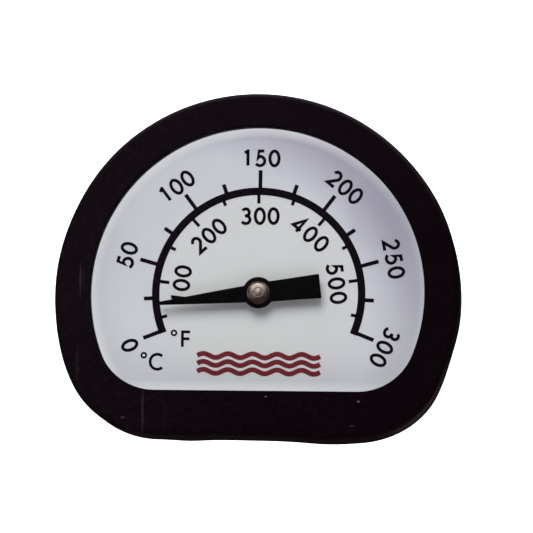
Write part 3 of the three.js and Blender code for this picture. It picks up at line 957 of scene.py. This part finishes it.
def make_print(material):
    """The scale's arc, ticks, numbers and units."""
    face = span("dial_plate")[1] - DIAL_T
    layers = (face - INK_T, face - INK_LIFT)
    low, high = ZERO_ANGLE - 300 * DEGREES_PER_CELSIUS, ZERO_ANGLE
    end = degrees(TICK_W / 2 / ARC_R)
    line = curve(*ARC_CENTRE, ARC_R, ARC_R, low - end, high + end, 180)
    parts = [ribbon(line, ARC_W, *layers)]
    arc_in, arc_out = ARC_R - ARC_W / 2, ARC_R + ARC_W / 2
    for celsius in range(0, 301, 25):
        major = celsius % 50 == 0
        parts.append(tick(celsius, arc_out - 0.1, TICK_ENDS[major], TICK_W, layers))
        if major:
            parts += number(celsius, celsius, OUTER_LABEL_R, layers, *OUTER_PLACES[celsius])
    for fahrenheit in range(50, 551, 50):
        celsius = (fahrenheit - 32) / 1.8
        major = fahrenheit % 100 == 0
        parts.append(tick(celsius, INNER_TICK_ENDS[major], arc_in + 0.1, INNER_TICK_W, layers))
        if major:
            place = INNER_PLACES[fahrenheit]
            parts += number(fahrenheit, celsius, INNER_LABEL_R, layers, *place)
    for unit, x, z in UNIT_PLACES:
        parts += label([unit], x, z, 0, layers, UNIT_STROKE)
        x, z = x + DEGREE_SHIFT[0], z + DEGREE_SHIFT[1]
        parts += label([DEGREE], x, z, 0, layers, DEGREE_STROKE)
    make_piece("dial_print", join_parts(parts), material, slot="dial_ink")


def make_heat_mark(material):
    """A plain dark red pictogram of warm air: three wavy lines, one above another."""
    face = span("dial_plate")[1] - DIAL_T
    parts = []
    for z in WAVE_ROWS:
        path = []
        for i in range(WAVE_STEPS + 1):
            rise = WAVE_HEIGHT * sin(2 * pi * WAVES * i / WAVE_STEPS)
            path.append((WAVE_START + WAVE_LENGTH * i / WAVE_STEPS, z + rise))
        parts.append(ribbon(path, WAVE_W, face - INK_T, face - INK_LIFT))
    make_piece("heat_mark", join_parts(parts), material, slot="red_ink")


# ---- pointer and movement


def pointer_outline(shrink=0.0):
    """The pointer's (x, z) outline, pointing along +X, pulled in by a shrink."""
    tip, root, tail = (w / 2 - shrink for w in (POINTER_TIP_W, POINTER_ROOT_W, POINTER_TAIL_W))
    end, back, hub = POINTER_TIP - shrink, POINTER_TAIL - shrink, HUB_R - shrink
    front_half = root + (tip - root) * hub / end
    back_half = root + (tail - root) * hub / back
    start = asin(front_half / hub)
    stop = pi - asin(back_half / hub)
    upper = [(end, 0.0), (end, tip * 0.55), (end - tip * 0.45, tip)]
    upper += [(hub + (end - hub) * k / 6, front_half + (tip - front_half) * k / 6)
              for k in (5, 4, 3, 2, 1)]
    upper += [(hub * cos(a), hub * sin(a))
              for a in (start + (stop - start) * k / 24 for k in range(25))]
    upper += [(-hub - (back - hub) * k / 4, back_half + (tail - back_half) * k / 4)
              for k in (1, 2, 3)]
    upper += [(-back + 0.12, tail), (-back + 0.035, tail - 0.035), (-back, tail - 0.12)]
    upper.append((-back, 0.0))
    return upper + [(x, -z) for x, z in reversed(upper[1:-1])]


def make_pointer(material):
    front, back = span("pointer")
    angle = radians(ZERO_ANGLE - DEGREES_PER_CELSIUS * REST_CELSIUS)

    def ring(points, y):
        return [(x * cos(angle) - z * sin(angle), y,
                 x * sin(angle) + z * cos(angle)) for x, z in points]

    bore = at_radius(pointer_outline(), 1)
    rings = [
        ring(pointer_outline(POINTER_EDGE), front),
        ring(pointer_outline(POINTER_EDGE * 0.3), front + POINTER_EDGE * 0.3),
        ring(pointer_outline(), front + POINTER_EDGE),
        ring(pointer_outline(), back), ring(bore, back), ring(bore, front),
    ]
    make_piece("black_pointer", loft(rings, closed=True), material, "pointer")


def make_boss(material):
    """The turned rivet: stepped rings, a shallow dome and a pip in the middle."""
    front = span("pointer_boss")[0]
    pointer_front, pointer_back = span("pointer")
    head, collar = pointer_front - CLEAR, pointer_back + CLEAR
    turned_rod("turned_rivet", [(r, front + depth) for r, depth in RIVET_FACE] + [
        (BOSS_R, head), (0.95, head), (0.95, collar), (1.42, collar),
        (1.5, collar + 0.08), (1.5, collar + 0.6), (1.42, collar + 0.7), (0.02, collar + 0.7),
    ], material, "pointer_boss")


def make_spindle_train(steel, ptfe, brass):
    """The shaft, its clip and thrust washer, and the collet that the coil is welded to."""
    front, back = span("spindle")
    collar = span("front_bearing")[1] + 0.1
    clip_front, clip_back = span("spindle_clip")
    r = SPINDLE_R
    turned_rod("shaft", [
        (r - 0.1, front), (r, front + 0.1), (r, clip_front - CLEAR), (r - 0.15, clip_front - 0.04),
        (r - 0.15, clip_back + 0.04), (r, clip_back + CLEAR), (r, collar), (1.4, collar),
        (1.5, collar + 0.1), (1.5, collar + 0.9), (1.4, collar + 1), (r, collar + 1),
        (r, back - 0.1), (r - 0.1, back),
    ], steel, "spindle", steps=FINE_STEPS)

    open_ring("open_clip", 1.2, 48,
              lambda _: box(0.5, 1.9, clip_front, clip_back, (0.05, 0.08, 0.08, 0.05)),
              steel, "spindle_clip")
    turned_ring("slip_washer", box(0.7, 2.2, *span("thrust_washer"), (0.04, 0.08, 0.08, 0.04)),
                ptfe, "thrust_washer", steps=FINE_STEPS)
    front, back = span("coil_collet")
    disc = front + 2.1
    turned_ring("coil_hub", [
        (BORE_R, front, 0.05), (DISC_R, front, 0.15), (DISC_R, disc, 0.15), (1.2, disc, 0.1),
        (1.2, back, 0.15), (BORE_R, back, 0.05),
    ], brass, "coil_collet", steps=FINE_STEPS)


def make_coil(material):
    """The bimetal strip, wound on its side, with rounded strip edges."""
    front, back = span("bimetal_coil")
    width, thick, pitch, radius = COIL_WIDTH, COIL_T, COIL_PITCH, COIL_R
    turns = (back - front - width) / pitch
    steps = round(turns * 40)
    section = rounded(box(-thick / 2, thick / 2, -width / 2, width / 2, [0.07] * 4), steps=3)
    rings = []
    for i in range(steps + 1):
        share = i / steps
        a = 2 * pi * turns * share
        y = front + width / 2 + turns * pitch * share
        rings.append([((radius + dr) * sin(a), y + dy, (radius + dr) * cos(a))
                      for dr, dy in section])
    make_piece("bimetal_strip", loft(rings), material, "bimetal_coil")


# ---- bush, stem and clamp


def hex_rings(across_flats, front, back):
    """Rings of a chamfered hexagon: each face ends in the curve that a turned chamfer leaves."""
    corner = across_flats / sqrt(3)
    washer_face = across_flats / 2 * 0.96
    slope = 0.35 / (corner - washer_face)
    sides = []
    for i in range(ROUND_STEPS):
        a = 2 * pi * i / ROUND_STEPS
        inside = (a + pi / 6) % (pi / 3) - pi / 6
        sides.append((a, min(across_flats / 2 / cos(pi / 6 - abs(inside)), corner)))

    def lowered(y, toward):
        return [polar(r, a, y + toward * slope * (r - washer_face)) for a, r in sides]

    faces = round_rings(((washer_face, front), (washer_face, back)))
    return [faces[0], lowered(front, 1), lowered(back, -1), faces[1]]


def thread_rings(front, back, per_pitch=10):
    """Rings of a single-start right-hand thread that runs out into a chamfer at its free end."""
    steps = round((back - front) / THREAD_PITCH * per_pitch)
    rings = []
    for i in range(steps + 1):
        y = front + (back - front) * i / steps
        run_out = min(1.0, max(0.0, (y - front) / 0.6))
        chamfer = THREAD_R - max(0.0, y - (back - 0.7))
        ring = []
        for j in range(ROUND_STEPS):
            a = 2 * pi * j / ROUND_STEPS
            phase = (y / THREAD_PITCH + a / (2 * pi)) % 1.0
            wave = abs(2 * phase - 1)
            depth = min(1.0, max(0.0, (wave - 0.12) / 0.72)) * run_out
            r = min(THREAD_R - (THREAD_R - THREAD_ROOT_R) * depth, chamfer)
            ring.append(polar(r, a, y))
        rings.append(ring)
    return rings


def make_bush(material):
    """The threaded bush with its hex flange. The stem is brazed in its bore."""
    front, back = span("threaded_bush")
    flange_front = span("case_cup")[1] + CLEAR
    flange_back = span("lid_seal")[0] - CLEAR
    bore = STEM_R + CLEAR
    rings = round_rings([(bore, front), (THREAD_R - 0.7, front), (THREAD_R, front + 0.7),
                         (THREAD_R, flange_front)])
    rings += hex_rings(FLANGE_ACROSS_FLATS, flange_front, flange_back)
    rings += round_rings([(THREAD_R, flange_back)])
    rings += thread_rings(CLEAR, back)
    rings += round_rings([(bore, back)])
    make_piece("threaded_barrel", loft(rings, closed=True), material, "threaded_bush", sharp=32)


def make_stem(steel, brass):
    """The tube and its tip, the spindle's two bearings, and the post that holds the coil."""
    inner = STEM_R - STEM_WALL
    turned_ring("probe_tube", box(inner, STEM_R, *span("stem_tube"), (0.08, 0.08, 0.05, 0.05)),
                steel, "stem_tube")

    front, back = span("stem_tip")
    shoulder = front + 2.8
    dome = [(STEM_R - 1.5 * (1 - cos(radians(a))),
             back - 1.5 * (1 - sin(radians(a)))) for a in range(0, 91, 9)]
    turned_rod("probe_tip", [
        (inner - 0.2, front), (inner - FIT, front + 0.1), (inner - FIT, shoulder),
        (STEM_R - 0.06, shoulder), (STEM_R, shoulder + 0.06),
    ] + dome, steel, "stem_tip")

    front, back = span("front_bearing")
    head = front + 0.8
    turned_ring("top_bearing", [
        (BORE_R, front, 0.08), (3.2, front, 0.12), (3.2, head, 0.12), (BUSHING_R, head, 0.05),
        (BUSHING_R, back, 0.1), (BORE_R, back, 0.08),
    ], brass, "front_bearing", steps=64)
    turned_ring("lower_bearing", box(BORE_R, BUSHING_R, *span("guide_bearing"), WASHER_CUTS),
                brass, "guide_bearing", steps=64)
    front, back = span("coil_anchor")
    disc = front + 1.8
    turned_rod("coil_post", [
        (1.05, front), (1.2, front + 0.15), (1.2, disc), (1.7, disc), (DISC_R, disc + 0.1),
        (DISC_R, back - 0.1), (1.7, back),
    ], brass, "coil_anchor", steps=64)


def make_case_hardware(steel, zinc):
    """The washer and the thin nut inside the case."""
    turned_ring("inner_washer", box(NUT_BORE_R, 7.5, *span("case_washer"), WASHER_CUTS),
                steel, "case_washer")
    front, back = span("case_nut")
    rings = round_rings([(NUT_BORE_R, front + 0.3), (NUT_BORE_R + 0.3, front)])
    rings += hex_rings(CASE_NUT_ACROSS_FLATS, front, back)
    rings += round_rings([(NUT_BORE_R + 0.3, back), (NUT_BORE_R, back - 0.3)])
    make_piece("inner_nut", loft(rings, closed=True), zinc, "case_nut", sharp=28)


def make_clamp(silicone, zinc):
    """The seal in front of the lid, and the washers behind it."""
    for name, node, cuts, material in (
        ("soft_seal", "lid_seal", (0.2, 0.5, 0.5, 0.2), silicone),
        ("flat_washer", "clamp_washer", (0.1, 0.12, 0.3, 0.15), zinc),
    ):
        corners = box(NUT_BORE_R, radius_of(node), *span(node), cuts)
        turned_ring(name, corners, material, node)

    front, back = span("spring_washer")
    outer = radius_of("spring_washer")
    lift = 0.3

    def section(share):
        y0, y1 = front + lift * share, back - lift * (1 - share)
        return box(NUT_BORE_R, outer, y0, y1, (0.15, 0.2, 0.2, 0.15))

    open_ring("split_washer", 0.14, 90, section, zinc, "spring_washer")


def make_wing_nut(material):
    """A cast wing nut: a tapered boss and two ears, run together by remeshing, then bored."""
    front = span("wing_nut")[0]
    top = front + WING_NUT_H
    boss = ((6.5, front), (6.8, front + 0.3), (6.75, front + 1.2), (5.3, top - 0.4), (4.9, top))
    parts = [loft(round_rings(boss))]
    ear = [(4.0, 1.2), (6.6, 1.1)]
    ear += cubic((6.6, 1.1), (11, 1.5), (15.3, 4.2), (15.7, 8.6))
    ear += cubic((15.7, 8.6), (15.9, 11.9), (11.4, 13.3), (10.1, 10.5))
    ear += cubic((10.1, 10.5), (9.3, 8.7), (7.6, 7.0), (4.0, 7.0))
    for side in (1, -1):
        ring = [(side * x, front + y) for x, y in ear]
        slim = shrunk(ring, 0.3)
        layers = ((slim, -0.8), (ring, -0.4), (ring, 0.4), (slim, 0.8))
        parts.append(loft([[(x, y, EAR_HALF_T * share) for x, y in points]
                           for points, share in layers]))
    nut = make_piece("winged_nut", join_parts(parts), material, "wing_nut")
    hole = ((NUT_BORE_R + 1.0, front - 0.5), (NUT_BORE_R + 0.5, front), (NUT_BORE_R, front + 0.5),
            (NUT_BORE_R, top - 0.5), (NUT_BORE_R + 0.5, top), (NUT_BORE_R + 1.0, top + 0.5))
    cutter = make_piece("nut_bore", loft(round_rings(hole)), material, body="nut")
    nut.modifiers.clear()
    cutter.modifiers.clear()
    remesh = nut.modifiers.new("cast", "REMESH")
    remesh.mode = "VOXEL"
    remesh.voxel_size = CAST_VOXEL * MM
    soften = nut.modifiers.new("soften", "SMOOTH")
    soften.factor = 0.5
    soften.iterations = 9
    bore = nut.modifiers.new("bore", "BOOLEAN")
    bore.operation = "DIFFERENCE"
    bore.solver = "EXACT"
    bore.object = cutter
    apply_modifiers(nut)
    bpy.data.objects.remove(cutter)
    nut.data.shade_smooth()
    nut.data.set_sharp_from_angle(angle=radians(35))


def cubic(a, b, c, d, steps=10):
    """Points of a Bezier curve after its first point."""
    points = []
    for i in range(1, steps + 1):
        t = i / steps
        weights = ((1 - t) ** 3, 3 * t * (1 - t) ** 2, 3 * t * t * (1 - t), t ** 3)
        points.append(tuple(sum(w * p[k] for w, p in zip(weights, (a, b, c, d))) for k in (0, 1)))
    return points


def shrunk(ring, inset):
    """A ring pulled towards its middle."""
    middle = (sum(x for x, _ in ring) / len(ring), sum(y for _, y in ring) / len(ring))
    pulled = []
    for x, y in ring:
        size = hypot(x - middle[0], y - middle[1])
        share = (size - inset) / size
        pulled.append((middle[0] + (x - middle[0]) * share, middle[1] + (y - middle[1]) * share))
    return pulled


def apply_modifiers(piece):
    """Bakes a piece's modifiers into its mesh."""
    graph = bpy.context.evaluated_depsgraph_get()
    made = bpy.data.meshes.new_from_object(piece.evaluated_get(graph))
    piece.modifiers.clear()
    piece.data = made


# ---- the scene

make_camera()
make_stage()

SILICONE = black_silicone()
GREY_SILICONE = clouded("grey_silicone", (0.3, 4.0), grey(0.16, 0.03), grey(0.22, 0.03),
                        (7.0, 3.0), 0.02, 0.6, (0.55, 0.75), 0.35)
PLASTIC = clouded("black_plastic", (0.5, 3.0), (0.0014, 0.0012, 0.0016), (0.0040, 0.0034, 0.0044),
                  (12.0, 2.0), 0.01, 0.5, (0.45, 0.6), 0.02)
PTFE = clouded("white_ptfe", (1.0, 3.0), (0.72, 0.71, 0.68), (0.82, 0.81, 0.78),
               (6.0, 2.0), 0.01, 0.4, (0.4, 0.5), 0.4)
PAINT = clouded("pointer_paint", (0.8, 4.0, 0.6), (0.0010, 0.0006, 0.0010),
                (0.0026, 0.0018, 0.0026), (10.0, 3.0, 0.6), 0.008, 0.5, (0.45, 0.6), 0.02)
STEEL = brushed_sheet("stainless_sheet", grey(0.36, -0.01), grey(0.56, -0.01), 0.3)
TURNED_STEEL = turned_metal("stainless_turned", grey(0.43), grey(0.56), 0.27)
ZINC = zinc_plate()
BRASS = turned_metal("turned_brass", (0.42, 0.27, 0.09), (0.62, 0.44, 0.18), 0.3)
BIMETAL = brushed_sheet("bimetal", (0.28, 0.25, 0.19), (0.46, 0.41, 0.31), 0.32)
BLACK_INK = ink("black_ink", (0.0024, 0.0010, 0.0028), (0.0060, 0.0032, 0.0070))
RED_INK = ink("red_ink", (0.13, 0.013, 0.017), (0.20, 0.032, 0.042))

make_boot(SILICONE)
make_case(STEEL)
make_dial(dial_enamel())
make_window(window_glass())
make_window_rings(STEEL, SILICONE, PLASTIC)
make_print(BLACK_INK)
make_heat_mark(RED_INK)
make_pointer(PAINT)
make_boss(rivet_metal())
make_spindle_train(TURNED_STEEL, PTFE, BRASS)
make_coil(BIMETAL)
make_bush(TURNED_STEEL)
make_stem(TURNED_STEEL, BRASS)
make_case_hardware(STEEL, ZINC)
make_clamp(GREY_SILICONE, ZINC)
make_wing_nut(ZINC)
shine_past("key", ["soft_frame", "crimped_ring", "window_gasket", "spacer_ring", "steel_cup"])
